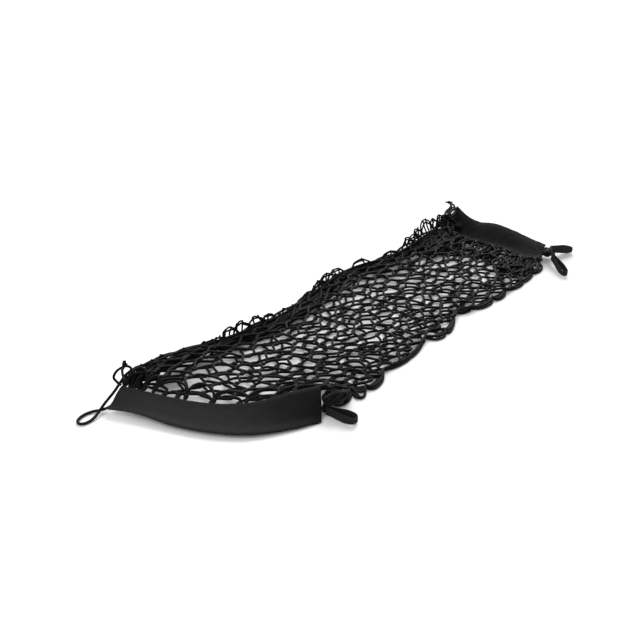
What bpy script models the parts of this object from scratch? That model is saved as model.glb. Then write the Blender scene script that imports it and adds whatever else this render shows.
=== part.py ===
"""A boot cargo net: an envelope of two layers of knotted elastic mesh, lying relaxed.

The net lies along X. Each end is held by a fabric panel, which stands highest at its
corner beside the mouth. An elastic cord gathers the two edges of the mouth, on the +Y
side, and makes a hanging loop at one corner. Tape loops hang from the two -Y corners,
where the mesh is gathered into bundles. Z = 0 is the surface that the net lies on.
"""

import math
import random
from collections import namedtuple

import bmesh
import bpy
from mathutils import Vector

# Driving dimensions, in metres
STRAND_WIDTH = 0.0038
STRAND_DEPTH = 0.0024
FABRIC = 0.0024  # an end panel is one strip, folded over the mesh and sewn flat
NEAR_HEM_SHARE = 0.2  # of a panel's width, lying level along its outer edge
FAR_HEM_SHARE = 0.0
CORD = 0.0040
TAPE_WIDTH = 0.013
TAPE = 0.0018
LAYER_GAP = 0.0013  # between the two layers where they lie closest

# Each layer of mesh, first laid out flat
COLUMNS = 18
ROWS = 7
FLAT_LENGTH = 0.72
FLAT_WIDTH = 0.24
END_GAP = 0.0050  # from a panel's edge to the middle of the mesh's end strand
CELL_ZIGZAG = 0.16  # of a row, up or down at every knot
CELL_UNEVENNESS = 0.13  # of a cell, at random
FRONT_SCALLOP = 0.0085
MOUTH_SCALLOP = 0.0070
FRONT_LIFT_SHARE = 0.13  # of the length, over which the mesh comes down from a panel
MOUTH_LIFT_SHARE = 0.20
PUFF = 0.0016  # the springy layers stand this far apart where nothing holds them
OPENS_FROM = 0.25  # of the width: the layers part from here to the mouth

ORIGIN = Vector((-0.0002, -0.0180, 0.0))  # of the part, in the frame of the tables below

# A panel, from its front corner to its corner at the mouth. The heights are of its
# underside.
PanelRow = namedtuple("PanelRow", "outer_x outer_y outer_z inner_x inner_y inner_z")
NEAR_PANEL = (
    PanelRow(-0.265, -0.134, 0.001, -0.231, -0.105, 0.028),
    PanelRow(-0.304, -0.112, 0.000, -0.262, -0.077, 0.021),
    PanelRow(-0.346, -0.080, 0.000, -0.305, -0.048, 0.014),
    PanelRow(-0.376, -0.037, 0.000, -0.342, -0.004, 0.012),
    PanelRow(-0.398, 0.016, 0.000, -0.368, 0.045, 0.014),
    PanelRow(-0.415, 0.064, 0.006, -0.389, 0.083, 0.020),
    PanelRow(-0.436, 0.1025, 0.008, -0.405, 0.1055, 0.0265),
)
FAR_PANEL = (
    PanelRow(0.436, -0.098, 0.018, 0.394, -0.112, 0.008),
    PanelRow(0.440, -0.066, 0.020, 0.386, -0.080, 0.004),
    PanelRow(0.446, -0.026, 0.024, 0.395, -0.034, 0.003),
    PanelRow(0.450, 0.018, 0.026, 0.395, 0.006, 0.003),
    PanelRow(0.443, 0.050, 0.024, 0.392, 0.045, 0.003),
    PanelRow(0.442, 0.078, 0.030, 0.398, 0.074, 0.006),
    PanelRow(0.453, 0.110, 0.040, 0.424, 0.104, 0.018),
)

# The long edges of the mesh, from the near panel to the far one. The mouth column is
# how far the upper layer stands off the lower one along the gathered edge.
EdgeRow = namedtuple("EdgeRow", "front_x front_y back_x back_y mouth")
NET_EDGES = (
    EdgeRow(-0.231, -0.105, -0.405, 0.104, 0.000),
    EdgeRow(-0.156, -0.121, -0.296, 0.119, 0.019),
    EdgeRow(-0.076, -0.119, -0.190, 0.106, 0.015),
    EdgeRow(0.003, -0.115, -0.086, 0.099, 0.015),
    EdgeRow(0.081, -0.111, 0.016, 0.102, 0.016),
    EdgeRow(0.158, -0.112, 0.120, 0.125, 0.013),
    EdgeRow(0.237, -0.121, 0.226, 0.103, 0.014),
    EdgeRow(0.314, -0.124, 0.330, 0.115, 0.013),
    EdgeRow(0.394, -0.112, 0.424, 0.104, 0.000),
)

# The cord beyond the mesh: down past the near panel's end, round the hanging loop and
# back up.
CordPoint = namedtuple("CordPoint", "x y z")
NEAR_CORNER_CORD = (
    CordPoint(-0.3770, 0.1120, 0.0412),
    CordPoint(-0.3900, 0.1130, 0.0380),
    CordPoint(-0.4010, 0.1120, 0.0315),
    CordPoint(-0.4110, 0.1120, 0.0235),
    CordPoint(-0.4205, 0.1130, 0.0165),
    CordPoint(-0.4300, 0.1125, 0.0115),
    CordPoint(-0.4400, 0.1100, 0.0075),
    CordPoint(-0.4510, 0.1065, 0.0040),
    CordPoint(-0.4620, 0.1048, 0.0024),
    CordPoint(-0.4715, 0.1062, 0.0024),
    CordPoint(-0.4752, 0.1115, 0.0024),
    CordPoint(-0.4725, 0.1178, 0.0024),
    CordPoint(-0.4650, 0.1220, 0.0024),
    CordPoint(-0.4545, 0.1228, 0.0024),
    CordPoint(-0.4440, 0.1195, 0.0026),
    CordPoint(-0.4350, 0.1125, 0.0036),
    CordPoint(-0.4260, 0.1065, 0.0070),
    CordPoint(-0.4165, 0.1060, 0.0118),
    CordPoint(-0.4070, 0.1100, 0.0160),
    CordPoint(-0.3950, 0.1160, 0.0185),
)

# Where the two ends of the cord climb to the knot at the far corner, from the knot out
FAR_CORNER_UPPER = (
    CordPoint(0.4445, 0.1250, 0.0415),
    CordPoint(0.4300, 0.1165, 0.0345),
)
FAR_CORNER_LOWER = (
    CordPoint(0.4180, 0.1210, 0.0140),
    CordPoint(0.4310, 0.1245, 0.0215),
    CordPoint(0.4410, 0.1300, 0.0330),
)
MOUTH_CORD_ACROSS = 0.955  # where the cord lies on the upper layer, of its width
FLOOR_CORD_ACROSS = 1.055  # and beside the lower one
CORD_SHARES = (0.065, 0.955)  # of the length, where it leaves the mesh for its corners
CORD_REST = 0.0013  # from the upper layer to the cord's underside
RIM_STEPS = 28
CORNER_STEPS = 34

# A tape loop stands on its edge: its root, its tip, the height of its lower edge at
# both, and the width of its eye
LoopRow = namedtuple("LoopRow", "name root_x root_y root_z tip_x tip_y tip_z eye")
TAPE_LOOPS = (
    LoopRow("loop_near_right", -0.244, -0.1245, 0.0005, -0.236, -0.171, 0.0005, 0.012),
    LoopRow("loop_far_upper", 0.430, -0.1110, 0.0095, 0.475, -0.133, 0.0010, 0.009),
    LoopRow("loop_far_lower", 0.402, -0.1290, 0.0095, 0.367, -0.174, 0.0005, 0.009),
)
EYE_WIDENS = 1.2  # times the straight sides' length, over which the eye would open fully

# A knot of mesh strands: its cut tail, the knot, and the strands that run down from it.
# The first strand leaves the knot's top, the others its foot.
KnotSpot = namedtuple("KnotSpot", "x y z thick")
NEAR_LEFT_KNOT = (
    KnotSpot(-0.3815, 0.1245, 0.0530, 0.0036),
    KnotSpot(-0.3835, 0.1230, 0.0465, 0.0052),
    KnotSpot(-0.3860, 0.1220, 0.0410, 0.0046),
)
NEAR_LEFT_STRANDS = (
    (KnotSpot(-0.3770, 0.1195, 0.0450, 0.0030), KnotSpot(-0.3720, 0.1175, 0.0430, 0.0030)),
    (
        KnotSpot(-0.3985, 0.1215, 0.0430, 0.0030),
        KnotSpot(-0.4070, 0.1180, 0.0400, 0.0030),
        KnotSpot(-0.4090, 0.1160, 0.0325, 0.0030),
    ),
    (KnotSpot(-0.3915, 0.1185, 0.0395, 0.0030), KnotSpot(-0.3950, 0.1178, 0.0365, 0.0030)),
)
FAR_LEFT_KNOT = (
    KnotSpot(0.4470, 0.1400, 0.0450, 0.0040),
    KnotSpot(0.4500, 0.1330, 0.0440, 0.0070),
    KnotSpot(0.4530, 0.1290, 0.0450, 0.0070),
)
FAR_LEFT_STRANDS = ((KnotSpot(0.4570, 0.1310, 0.0430, 0.0040),),)

# Gathered mesh, whipped into a bundle where the tape loops hang
BundleRow = namedtuple("BundleRow", "name x y z turn length thick")
BUNDLES = (
    BundleRow("bundle_near_right", -0.2320, -0.1320, 0.0235, -12, 0.034, 0.018),
    BundleRow("bundle_far_right", 0.4110, -0.1175, 0.0185, 10, 0.026, 0.014),
)
BUNDLE_RIDGES = 7
BUNDLE_RIDGE_SHARE = 0.10  # of its thickness

BLACK_MESH = ("mesh_black", (0.012, 0.012, 0.013), 0.62)
BLACK_FABRIC = ("fabric_black", (0.020, 0.020, 0.021), 0.85)
BLACK_ELASTIC = ("elastic_black", (0.016, 0.016, 0.017), 0.70)


def clear_scene():
    for thing in list(bpy.data.objects):
        bpy.data.objects.remove(thing)


def material(look):
    """The named material, made on first use."""
    name, colour, roughness = look
    made = bpy.data.materials.get(name)
    if made is None:
        made = bpy.data.materials.new(name)
        made.use_nodes = True
        shader = made.node_tree.nodes["Principled BSDF"]
        shader.inputs["Base Color"].default_value = (*colour, 1.0)
        shader.inputs["Roughness"].default_value = roughness
        shader.inputs["Metallic"].default_value = 0.0
    return made


def smooth(share):
    """An even ramp from 0 to 1 that starts and ends level."""
    share = min(max(share, 0.0), 1.0)
    return share * share * (3.0 - 2.0 * share)


def row_at(rows, share):
    """The row at this share of a table, on a smooth curve through all its rows.

    A share a little below 0 or above 1 carries the curve straight on past its end.
    """
    place = share * (len(rows) - 1)
    index = min(max(int(place), 0), len(rows) - 2)
    start, end = rows[index], rows[index + 1]
    before = rows[index - 1] if index else mirrored(end, start)
    after = rows[index + 2] if index + 2 < len(rows) else mirrored(start, end)
    u = place - index
    values = (
        b + 0.5 * u * (c - a + u * (2 * a - 5 * b + 4 * c - d + u * (3 * (b - c) + d - a)))
        for a, b, c, d in zip(before, start, end, after)
    )
    return type(start)(*values)


def mirrored(row, about):
    """The row as far beyond another as it lies before it."""
    return type(row)(*(2 * there - here for here, there in zip(row, about)))


def panel_point(rows, hem, along, across):
    """The underside of a panel: along it from its front corner, and across it inwards."""
    row = row_at(rows, along)
    rise = smooth((across - hem) / (1.0 - hem))
    return Vector((
        row.outer_x + (row.inner_x - row.outer_x) * across,
        row.outer_y + (row.inner_y - row.outer_y) * across,
        max(row.outer_z + (row.inner_z - row.outer_z) * rise, 0.0),
    ))


def net_plan(along, across):
    """Where a layer's point lies in plan: a patch stretched between its four edges."""
    near, far = row_at(NEAR_PANEL, across), row_at(FAR_PANEL, across)
    edge = row_at(NET_EDGES, along)
    start, end = NET_EDGES[0], NET_EDGES[-1]
    point = Vector((near.inner_x, near.inner_y)) * (1 - along)
    point += Vector((far.inner_x, far.inner_y)) * along
    point += Vector((edge.front_x, edge.front_y)) * (1 - across)
    point += Vector((edge.back_x, edge.back_y)) * across
    point -= Vector((start.front_x, start.front_y)) * (1 - along) * (1 - across)
    point -= Vector((start.back_x, start.back_y)) * (1 - along) * across
    point -= Vector((end.front_x, end.front_y)) * along * (1 - across)
    point -= Vector((end.back_x, end.back_y)) * along * across
    return point


def end_eases(along, across):
    """How far the mesh is lifted by the near panel and by the far one, in shares."""
    reach = FRONT_LIFT_SHARE + (MOUTH_LIFT_SHARE - FRONT_LIFT_SHARE) * smooth(across)
    near = max(1.0 - along / reach, 0.0) ** 2
    far = max(1.0 - (1.0 - along) / reach, 0.0) ** 2
    return near, far


def lower_height(along, across):
    """The underside of the lower layer: level on the surface between its two ends."""
    near_ease, far_ease = end_eases(along, across)
    near, far = row_at(NEAR_PANEL, across), row_at(FAR_PANEL, across)
    return near.inner_z * near_ease + far.inner_z * far_ease


def upper_height(along, across):
    """The underside of the upper layer, which opens towards the mouth."""
    open_by = row_at(NET_EDGES, along).mouth * smooth((across - OPENS_FROM) / (1.0 - OPENS_FROM))
    held_apart = FABRIC * sum(end_eases(along, across))
    puff = PUFF * math.sin(math.pi * min(across, 0.5))
    gap = LAYER_GAP + open_by + held_apart + puff
    return lower_height(along, across) + STRAND_DEPTH + gap


def lattice(seed, stagger):
    """One layer's cells laid out flat: six-sided faces between unevenly placed knots.

    Stagger is 0 or 1: the row, counted from the front, that starts with a whole cell.
    """
    chance = random.Random(seed)
    mesh = bmesh.new()
    cell, row_width = FLAT_LENGTH / COLUMNS, FLAT_WIDTH / ROWS
    last = 2 * COLUMNS

    def uneven():
        return chance.uniform(-CELL_UNEVENNESS, CELL_UNEVENNESS)

    knots = {}
    for line in range(ROWS + 1):
        for half in range(last + 1):
            column, place = half / 2, line
            if 0 < half < last:
                column += uneven()
                if 0 < line < ROWS:
                    strand_goes_up = (half + line) % 2 == stagger
                    place += uneven() + (CELL_ZIGZAG if strand_goes_up else -CELL_ZIGZAG)
            knots[line, half] = mesh.verts.new((column * cell, place * row_width, 0.0))
    for line, row, depth in ((0, 0, -FRONT_SCALLOP), (ROWS, ROWS - 1, MOUTH_SCALLOP)):
        for half in range(1 + (row + stagger) % 2, last, 2):
            knot = knots[line, half].co
            knot.y += depth
            for side in (-0.5, 0.5):
                end = knots[line, half + 2 * side].co
                belly = (knot + end) / 2 + Vector((0.0, depth / 4, 0.0))
                knots[line, half + side] = mesh.verts.new(belly)
    for row in range(ROWS):
        first = (row + stagger) % 2
        spans = [(start, start + 2) for start in range(first, last - 1, 2)]
        if first:
            spans = [(0, 1), *spans, (last - 1, last)]
        for start, end in spans:
            below = chain(knots, row, start, end)
            above = chain(knots, row + 1, start, end)
            mesh.faces.new(below + above[::-1])
    return mesh


def chain(knots, line, start, end):
    """The knots along a line of the lattice, from one half column to another."""
    quarters = [start + step / 2 for step in range(2 * (end - start) + 1)]
    return [knots[line, half] for half in quarters if (line, half) in knots]


def widen_edge(mesh):
    """The outermost strands, which the cells cut to half width, get their full width."""
    moves = {}
    for edge in mesh.edges:
        if not edge.is_boundary:
            continue
        start, end = (vert.co for vert in edge.verts)
        outward = (end - start).cross(Vector((0.0, 0.0, 1.0))).normalized()
        if outward.dot(edge.link_faces[0].calc_center_median() - start) > 0:
            outward = -outward
        for vert in edge.verts:
            moves[vert] = moves.get(vert, Vector()) + outward
    for vert, outward in moves.items():
        vert.co += outward.normalized() * STRAND_WIDTH / 2


def net_layer(name, seed, stagger, height):
    """A layer: its cells are cut through a flat sheet, which is then draped.

    Height is a function: the layer's underside at a share along it and across it.
    """
    mesh = lattice(seed, stagger)
    widen_edge(mesh)
    mesh.normal_update()
    cells = list(mesh.faces)
    bmesh.ops.inset_individual(
        mesh, faces=cells, thickness=STRAND_WIDTH / 2, use_even_offset=True
    )
    bmesh.ops.delete(mesh, geom=cells, context="FACES_ONLY")
    for vert in mesh.verts:
        along, across = vert.co.x / FLAT_LENGTH, vert.co.y / FLAT_WIDTH
        plan = net_plan(along, across)
        plan.x += END_GAP * (1.0 - 2.0 * along)
        vert.co = Vector((plan.x, plan.y, height(along, across)))
    return finish(name, mesh, BLACK_MESH, STRAND_DEPTH, 1.0)


def panel(name, rows, hem, steps=26, bands=6):
    """An end panel, lofted between its outer edge and the edge that holds the mesh."""
    mesh = bmesh.new()
    grid = []
    for step in range(steps + 1):
        line = [panel_point(rows, hem, step / steps, band / bands) for band in range(bands + 1)]
        grid.append([mesh.verts.new(point) for point in line])
    for line, after in zip(grid, grid[1:]):
        for band in range(bands):
            mesh.faces.new((line[band], line[band + 1], after[band + 1], after[band]))
    mesh.normal_update()
    if sum(face.normal.z for face in mesh.faces) < 0:
        bmesh.ops.reverse_faces(mesh, faces=list(mesh.faces))
    return finish(name, mesh, BLACK_FABRIC, FABRIC, 1.0)


def on_upper(along):
    """The cord's middle where it lies on the upper layer's edge."""
    plan = net_plan(along, MOUTH_CORD_ACROSS)
    height = upper_height(along, MOUTH_CORD_ACROSS) + STRAND_DEPTH + CORD_REST + CORD / 2
    return CordPoint(plan.x, plan.y, height)


def beside_lower(along):
    """The cord's middle where it lies just outside the lower layer's edge."""
    plan = net_plan(along, FLOOR_CORD_ACROSS)
    return CordPoint(plan.x, plan.y, max(lower_height(along, 1.0), 0.0) + CORD / 2)


def rim_cord(name):
    """One elastic cord: along the upper mouth edge, round the loop and back below."""
    start, end = CORD_SHARES
    shares = [start + (end - start) * step / (RIM_STEPS - 1) for step in range(RIM_STEPS)]
    corner = [step / (CORNER_STEPS - 1) for step in range(CORNER_STEPS)]
    route = [*FAR_CORNER_UPPER, *(on_upper(along) for along in reversed(shares))]
    route += [row_at(NEAR_CORNER_CORD, share) for share in corner]
    route += [*(beside_lower(along) for along in shares), *FAR_CORNER_LOWER]
    curve = bpy.data.curves.new(name, "CURVE")
    curve.dimensions = "3D"
    curve.bevel_depth = CORD / 2
    curve.bevel_resolution = 2
    curve.use_fill_caps = True
    spline = curve.splines.new("POLY")
    spline.points.add(len(route) - 1)
    for point, spot in zip(spline.points, route):
        point.co = (*(Vector(spot) - ORIGIN), 1.0)
    curve.materials.append(material(BLACK_ELASTIC))
    return bpy.data.objects.new(name, curve)


def loop_outline(straight, round_root, round_tip, sides=5, tip_steps=8):
    """A tape loop from above, about its own middle line, from its root's far side."""
    root = [(round_root + round_root * math.cos(a), round_root * math.sin(a))
            for a in (math.pi * 1.25, math.pi, math.pi * 0.75)]
    side = []
    for step in range(sides):
        share = step / sides
        swell = (round_tip - round_root) * smooth(share * EYE_WIDENS)
        side.append((round_root + straight * share, round_root + swell))
    tip = []
    for step in range(tip_steps + 1):
        angle = math.pi * step / tip_steps
        reach = round_root + straight + round_tip * math.sin(angle)
        tip.append((reach, round_tip * math.cos(angle)))
    return root + side + tip + [(reach, -half) for reach, half in reversed(side)]


def tape_loop(row):
    """A folded tape: its two plies part into an eye that is widest near the tip."""
    root = Vector((row.root_x, row.root_y, row.root_z))
    tip = Vector((row.tip_x, row.tip_y, row.tip_z))
    reach = Vector((tip.x - root.x, tip.y - root.y, 0.0))
    forward = reach.normalized()
    sideways = Vector((-forward.y, forward.x, 0.0))
    round_root, round_tip = TAPE, (row.eye + TAPE) / 2
    straight = reach.length - round_tip - round_root
    mesh = bmesh.new()
    rungs = []
    for ahead, aside in loop_outline(straight, round_root, round_tip):
        low = root.lerp(tip, ahead / reach.length).z
        base = Vector((root.x, root.y, low)) + forward * ahead + sideways * aside
        top = base + Vector((0.0, 0.0, TAPE_WIDTH))
        rungs.append((mesh.verts.new(base), mesh.verts.new(top)))
    for (low, high), (next_low, next_high) in zip(rungs, rungs[1:] + rungs[:1]):
        mesh.faces.new((low, next_low, next_high, high))
    return finish(row.name, mesh, BLACK_ELASTIC, TAPE, 0.0)


def bundle(row):
    """A spindle of gathered strands, whose ridges run from end to end."""
    mesh = bmesh.new()
    bmesh.ops.create_uvsphere(mesh, u_segments=14, v_segments=8, radius=1.0)
    turn = math.radians(row.turn)
    for vert in mesh.verts:
        around = math.atan2(vert.co.y, vert.co.x)
        swell = 1.0 + BUNDLE_RIDGE_SHARE * math.cos(BUNDLE_RIDGES * around)
        thick = row.thick / 2 * swell
        end, side, up = vert.co.z * row.length / 2, vert.co.x * thick, vert.co.y * thick
        vert.co = Vector((
            row.x + end * math.cos(turn) - side * math.sin(turn),
            row.y + end * math.sin(turn) + side * math.cos(turn),
            row.z + up,
        ))
    mesh.normal_update()
    bmesh.ops.recalc_face_normals(mesh, faces=list(mesh.faces))
    return finish(row.name, mesh, BLACK_MESH)


def tied_knot(name, knot, strands):
    """A knot with its tail and its strands, as one skin around their middle lines."""
    tail, top, foot = range(3)
    spots, links = list(knot), [(tail, top), (top, foot)]
    for number, strand in enumerate(strands):
        before = foot if number else top
        for spot in strand:
            links.append((before, len(spots)))
            before = len(spots)
            spots.append(spot)
    data = bpy.data.meshes.new(name)
    data.from_pydata([Vector(spot[:3]) - ORIGIN for spot in spots], links, [])
    data.materials.append(material(BLACK_MESH))
    made = bpy.data.objects.new(name, data)
    made.modifiers.new("strands", "SKIN")
    for vert, spot in zip(data.skin_vertices[0].data, spots):
        vert.radius = (spot.thick / 2, spot.thick / 2)
    data.skin_vertices[0].data[top].use_root = True
    rounding = made.modifiers.new("rounding", "SUBSURF")
    rounding.levels = rounding.render_levels = 1
    return made


def finish(name, mesh, look, thickness=None, offset=0.0):
    """The object made from a mesh, moved into the part's frame and given its thickness."""
    for vert in mesh.verts:
        vert.co -= ORIGIN
    data = bpy.data.meshes.new(name)
    mesh.to_mesh(data)
    mesh.free()
    data.materials.append(material(look))
    made = bpy.data.objects.new(name, data)
    if thickness:
        shell = made.modifiers.new("thickness", "SOLIDIFY")
        shell.thickness = thickness
        shell.offset = offset
    return made


def cargo_net():
    """All the net's pieces."""
    return [
        panel("panel_near", NEAR_PANEL, NEAR_HEM_SHARE),
        panel("panel_far", FAR_PANEL, FAR_HEM_SHARE),
        net_layer("net_lower", 3, 1, lower_height),
        net_layer("net_upper", 8, 0, upper_height),
        rim_cord("rim_cord"),
        *(tape_loop(row) for row in TAPE_LOOPS),
        *(bundle(row) for row in BUNDLES),
        tied_knot("knot_near_left", NEAR_LEFT_KNOT, NEAR_LEFT_STRANDS),
        tied_knot("knot_far_left", FAR_LEFT_KNOT, FAR_LEFT_STRANDS),
    ]


clear_scene()
collection = bpy.data.collections.new("cargo_net")
bpy.context.scene.collection.children.link(collection)
for piece in cargo_net():
    collection.objects.link(piece)
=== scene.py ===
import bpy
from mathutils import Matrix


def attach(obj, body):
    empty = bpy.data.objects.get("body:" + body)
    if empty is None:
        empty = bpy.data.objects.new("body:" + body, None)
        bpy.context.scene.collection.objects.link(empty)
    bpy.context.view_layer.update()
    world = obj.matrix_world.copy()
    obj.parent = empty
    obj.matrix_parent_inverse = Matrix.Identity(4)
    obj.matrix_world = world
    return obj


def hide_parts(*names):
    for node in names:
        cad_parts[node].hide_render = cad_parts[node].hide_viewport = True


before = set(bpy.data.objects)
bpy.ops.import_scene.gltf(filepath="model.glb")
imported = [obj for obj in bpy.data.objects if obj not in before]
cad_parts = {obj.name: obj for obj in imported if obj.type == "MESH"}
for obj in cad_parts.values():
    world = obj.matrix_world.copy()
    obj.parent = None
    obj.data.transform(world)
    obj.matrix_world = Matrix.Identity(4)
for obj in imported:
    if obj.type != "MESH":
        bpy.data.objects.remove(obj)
"""The looks of a boot cargo net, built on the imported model: lengths in metres.

Every strand of the two mesh layers is a tube that ends in knots. The layers, the panels
and the rim cord follow the folds of the solids that they stand for. Shares run from 0 to
1: along the net from its near panel, and across it from its front edge to its mouth.
"""

import random
from collections import namedtuple
from math import copysign, cos, pi, radians, sin, sqrt

import bpy
from mathutils import Vector, noise

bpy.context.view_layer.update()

ORIGIN = Vector((-0.0002, -0.0180, 0.0))  # of the part, in the frame of the tables

# The camera
CAMERA_SPOT = Vector((-1.0200, -0.7650, 0.6800)) - ORIGIN
CAMERA_PITCH, CAMERA_HEADING = 62.0, -50.0
LENS, SENSOR = 50.0, 36.0
AMBIENT = 0.68  # strength of the white surroundings, which look fully white themselves
FLOOR_REACH = 40.0

# Diameters and thicknesses
STRAND = 0.0041
STANDING_STRAND = 0.0030  # stretched thin in the loops that stand along the mouth
CORD = 0.0040
THREAD = 0.0005
PLY = 0.0007
PANEL = 0.0024
LIP = 0.0062  # the folded panel is this thick where it holds the mesh
TAPE_WIDTH = 0.013
TAPE = 0.0018
TIP_NARROWS = 0.3  # of the tape's width, crushed together at a loop's tip
STRAND_DEPTH = 0.0024  # of the solids' strands
FLOOR_GAP = 0.00005  # under a panel
CORD_REST = 0.0013  # from the solids' upper layer to the cord's underside
LAYER_GAP = 0.0013

# A layer of diamond mesh
COLUMNS = 14
HALF_ROWS = 17
LAYERS_DRIFT = (0.25, -0.50)  # of a column, and of half a row
SHEAR = 0.12  # of the length: how far the mouth's columns lie past the front's
UNEVENNESS = 0.15  # of a cell, at random
ROW_UNEVENNESS = 1.6  # times as much across the rows
KNOT_LENGTH = 0.0112
KNOT_WIDTH = 0.0078
KNOT_HEIGHT = 0.0050
KNOT_LIFT = 0.0012  # at most, at random, on the lower layer
KNOT_LIFT_ABOVE = 0.0030
KNOT_TURN = 28  # degrees to either side
KNOT_GRIP = 0.35  # of a knot's length, from its middle to where a strand leaves it
STRAND_PULLS = (0.25, 0.5)  # of its reach, over which a strand keeps its knot's way
STRAND_BOW = 0.0022
MOUTH_BOWS = (0.004, 0.008)
FRONT_LIFT_SHARE = 0.13  # of the length, over which the mesh comes down from a panel
MOUTH_LIFT_SHARE = 0.26
OPENS_FROM = 0.25  # of the width: the layers part from here to the mouth
PUFF = 0.0016

# The mesh beside the panels
EDGE_BITE = 0.003  # of the length, by which a strand reaches into a panel
EDGE_KNOTS = 0.008  # of the length, from a panel
EDGE_UNEVENNESS = 0.5  # of a half row, for the knots beside a panel
EDGE_BOWS = (0.012, 0.034)  # how far the slack strands there reach out
EDGE_SEED = 100
SWEEP = 0.27  # how far the mesh leans as it leaves the near panel at a right angle
SWEEP_SHARE = 0.3
INSIDE_SHARE = 0.022  # of the length, over which a strand comes down between the plies

# A panel, from its front corner to its corner at the mouth
PanelRow = namedtuple("PanelRow", "outer_x outer_y outer_z inner_x inner_y inner_z")
NEAR_PANEL = [PanelRow(*row) for row in (
    (-0.265, -0.134, 0.001, -0.231, -0.105, 0.028),
    (-0.3072, -0.1149, 0.0030, -0.262, -0.077, 0.021),
    (-0.3510, -0.0850, 0.0050, -0.305, -0.048, 0.014),
    (-0.3817, -0.0434, 0.0060, -0.342, -0.004, 0.012),
    (-0.4039, 0.0085, 0.0065, -0.368, 0.045, 0.014),
    (-0.4186, 0.0591, 0.0100, -0.389, 0.083, 0.020),
    (-0.4377, 0.1024, 0.0095, -0.405, 0.106, 0.027),
)]
FAR_PANEL = [PanelRow(*row) for row in (
    (0.436, -0.098, 0.018, 0.394, -0.112, 0.008),
    (0.440, -0.066, 0.020, 0.386, -0.080, 0.004),
    (0.446, -0.026, 0.024, 0.395, -0.034, 0.003),
    (0.450, 0.018, 0.026, 0.395, 0.006, 0.003),
    (0.443, 0.050, 0.024, 0.392, 0.045, 0.003),
    (0.442, 0.078, 0.030, 0.398, 0.074, 0.006),
    (0.453, 0.110, 0.040, 0.424, 0.104, 0.018),
)]
NEAR_HEM_SHARE = 0.2  # of a panel's width, lying level along its outer edge
FAR_HEM_SHARE = 0.0
LONG_SEAMS = (0.07, 0.90, 0.965)  # of a panel's width
END_SEAMS = (0.012, 0.988)  # of its length

# The long edges of the mesh. The mouth column is how far the layers stand apart there.
EdgeRow = namedtuple("EdgeRow", "front_x front_y back_x back_y mouth")
NET_EDGES = [EdgeRow(*row) for row in (
    (-0.231, -0.105, -0.405, 0.104, 0.010),
    (-0.156, -0.121, -0.296, 0.121, 0.011),
    (-0.076, -0.119, -0.190, 0.113, 0.005),
    (0.003, -0.115, -0.086, 0.103, 0.005),
    (0.081, -0.108, 0.016, 0.116, 0.006),
    (0.158, -0.110, 0.120, 0.128, 0.006),
    (0.237, -0.120, 0.226, 0.107, 0.004),
    (0.314, -0.122, 0.330, 0.104, 0.008),
    (0.394, -0.112, 0.424, 0.104, 0.004),
)]

# Loops of mesh that stand up from the gathered mouth, in shares along it
MouthLoop = namedtuple("MouthLoop", "start end rise ribs")
MOUTH_LOOPS = [MouthLoop(*row) for row in (
    (0.025, 0.085, 0.005, 2),
    (0.070, 0.108, 0.006, 1),
    (0.110, 0.162, 0.003, 1),
    (0.176, 0.216, 0.006, 2),
    (0.206, 0.236, 0.007, 1),
    (0.226, 0.266, 0.015, 2),
    (0.252, 0.298, 0.0175, 2),
    (0.286, 0.332, 0.0165, 2),
    (0.316, 0.358, 0.0115, 2),
    (0.364, 0.400, 0.008, 1),
    (0.395, 0.430, 0.005, 1),
    (0.440, 0.492, 0.008, 1),
    (0.480, 0.540, 0.014, 3),
    (0.505, 0.580, 0.016, 4),
    (0.540, 0.610, 0.014, 3),
    (0.632, 0.688, 0.0115, 1),
    (0.712, 0.770, 0.010, 1),
    (0.780, 0.826, 0.018, 1),
    (0.798, 0.856, 0.0165, 2),
    (0.824, 0.868, 0.023, 2),
    (0.852, 0.908, 0.029, 2),
    (0.896, 0.936, 0.022, 1),
    (0.920, 0.962, 0.021, 2),
    (0.945, 0.985, 0.016, 2),
)]
LOOP_KINK = 0.0045  # how far a loop's strands stray from a smooth arch
LOOP_LEAN = Vector((0.0, 0.35, 1.0))
LOOP_ARCH = 0.75
INNER_LOOP = 0.82  # of the outer strand's rise
INNER_LOOP_DRIFT = 0.12
LOOP_STEPS = (0.0, 0.1, 0.28, 0.5, 0.72, 0.9, 1.0)
RIB_SLANT = 0.012  # of the length of the mouth

# Slack scallops of the two layers' front edges, lying on the floor
FrontScallop = namedtuple("FrontScallop", "start_x start_y crest_x crest_y end_x end_y")
FRONT_SCALLOPS = [FrontScallop(*row) for row in (
    (0.386, -0.116, 0.362, -0.133, 0.338, -0.125),
    (0.342, -0.122, 0.316, -0.135, 0.286, -0.128),
    (0.300, -0.125, 0.278, -0.137, 0.246, -0.124),
    (0.246, -0.124, 0.216, -0.136, 0.205, -0.122),
    (0.205, -0.122, 0.173, -0.132, 0.148, -0.113),
    (0.148, -0.113, 0.132, -0.117, 0.117, -0.101),
    (0.117, -0.101, 0.068, -0.131, 0.055, -0.121),
    (0.055, -0.121, 0.033, -0.134, 0.016, -0.113),
    (0.016, -0.113, -0.034, -0.131, -0.047, -0.123),
    (-0.047, -0.123, -0.064, -0.133, -0.106, -0.122),
    (-0.106, -0.122, -0.142, -0.142, -0.158, -0.129),
    (-0.158, -0.129, -0.184, -0.142, -0.176, -0.114),
    (-0.176, -0.114, -0.205, -0.134, -0.222, -0.118),
)]
SCALLOP_INSET = 0.75 * STRAND  # from the table's outline to a scallop's ends
CREST_INSET = 1.1 * STRAND
SCALLOP_HEIGHT, CREST_HEIGHT = 0.0030, 0.0022
SCALLOP_TIE_BOW = 0.003

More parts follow.
